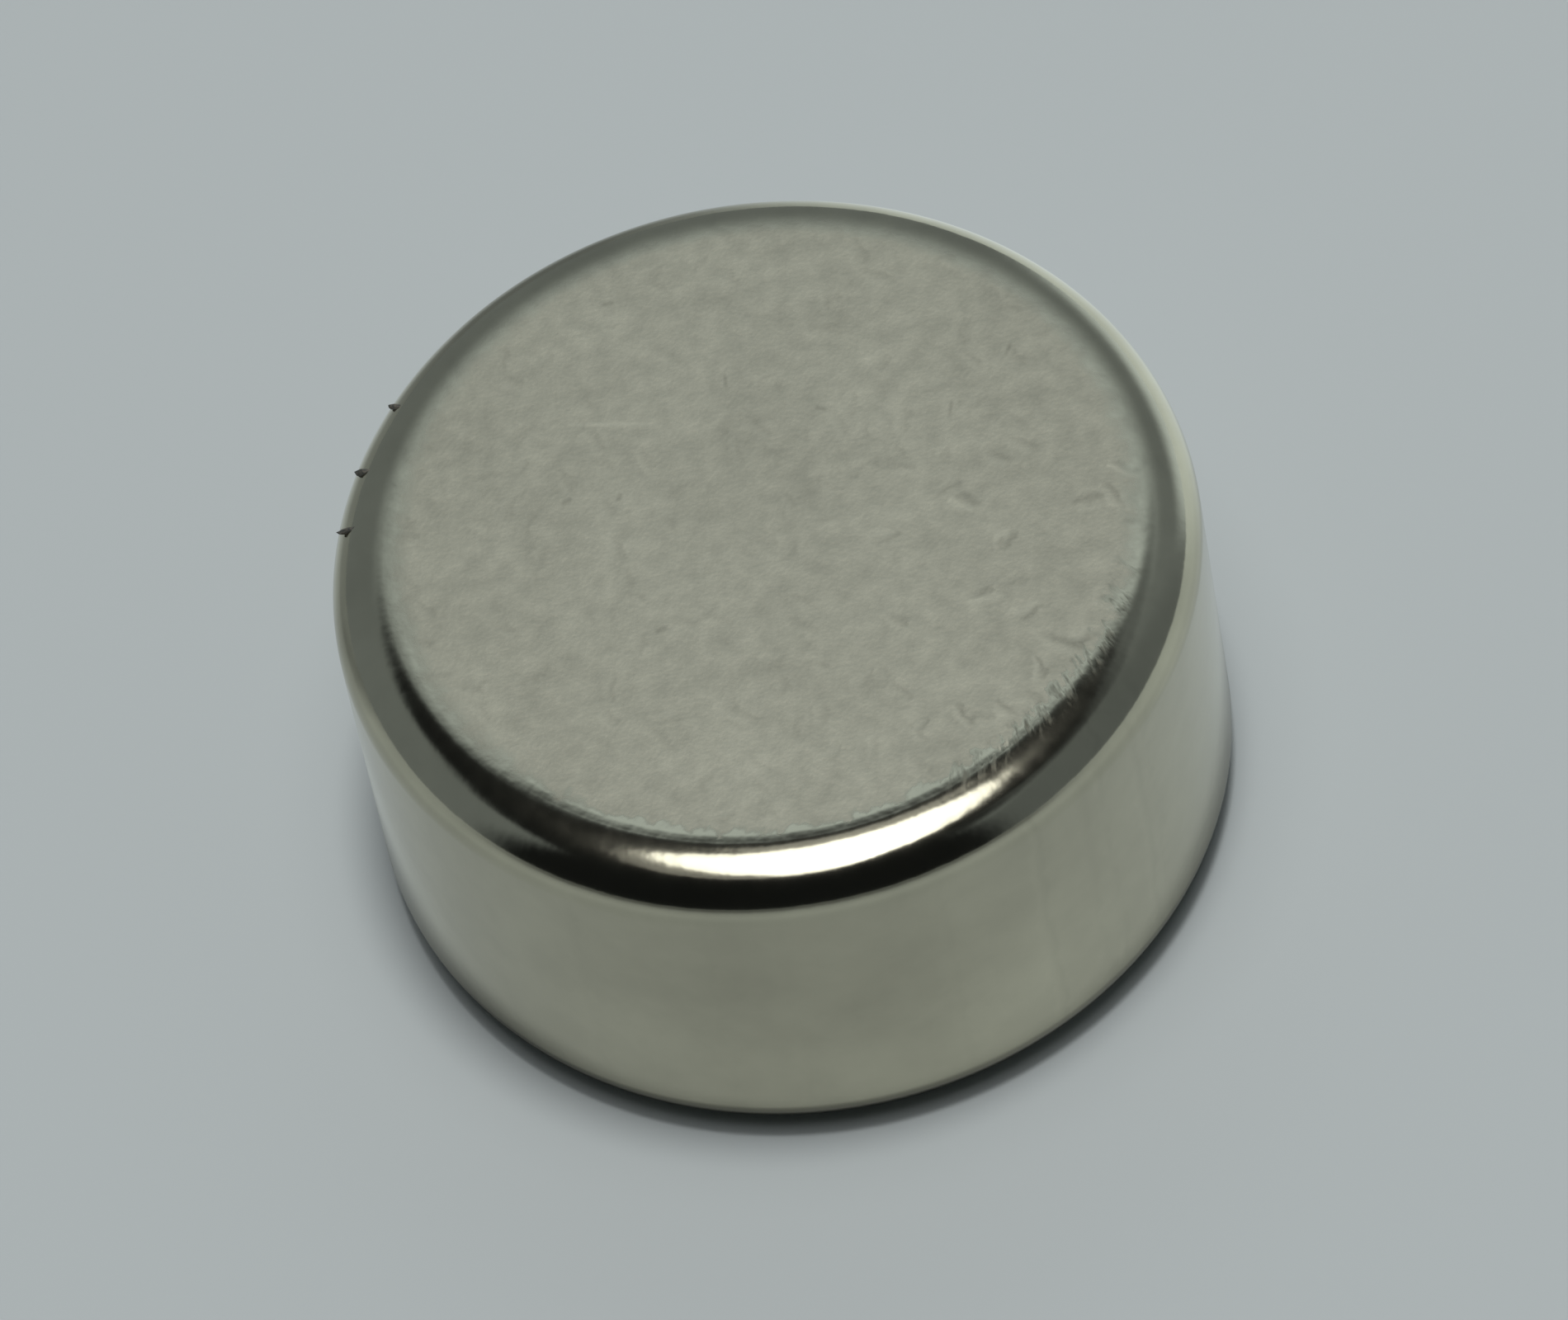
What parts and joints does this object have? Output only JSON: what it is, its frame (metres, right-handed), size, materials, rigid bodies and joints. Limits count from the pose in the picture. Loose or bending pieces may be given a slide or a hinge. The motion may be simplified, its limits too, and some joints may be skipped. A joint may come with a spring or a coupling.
{
  "type": "disc magnet",
  "caption": "Round nickel-plated disc magnet with two flat pole faces, a straight side wall and rounded rims, made to hold on steel or to be glued into a round pocket.",
  "frame": {"origin": "centre of the lower pole face, on which the disc stands", "axes": "+Z along the disc's axis, from the lower pole face to the upper one; X and Y lie in the lower face, and the disc is round about Z"},
  "size_m": [0.008, 0.008, 0.004],
  "materials": {
    "nickel_plating": "bright nickel plating: satin and finely scuffed on the two pole faces, glossy on the side wall and on the tumbled rims"
  },
  "bodies": {
    "root": {"magnet": "nickel_plating"}
  },
  "joints": []
}
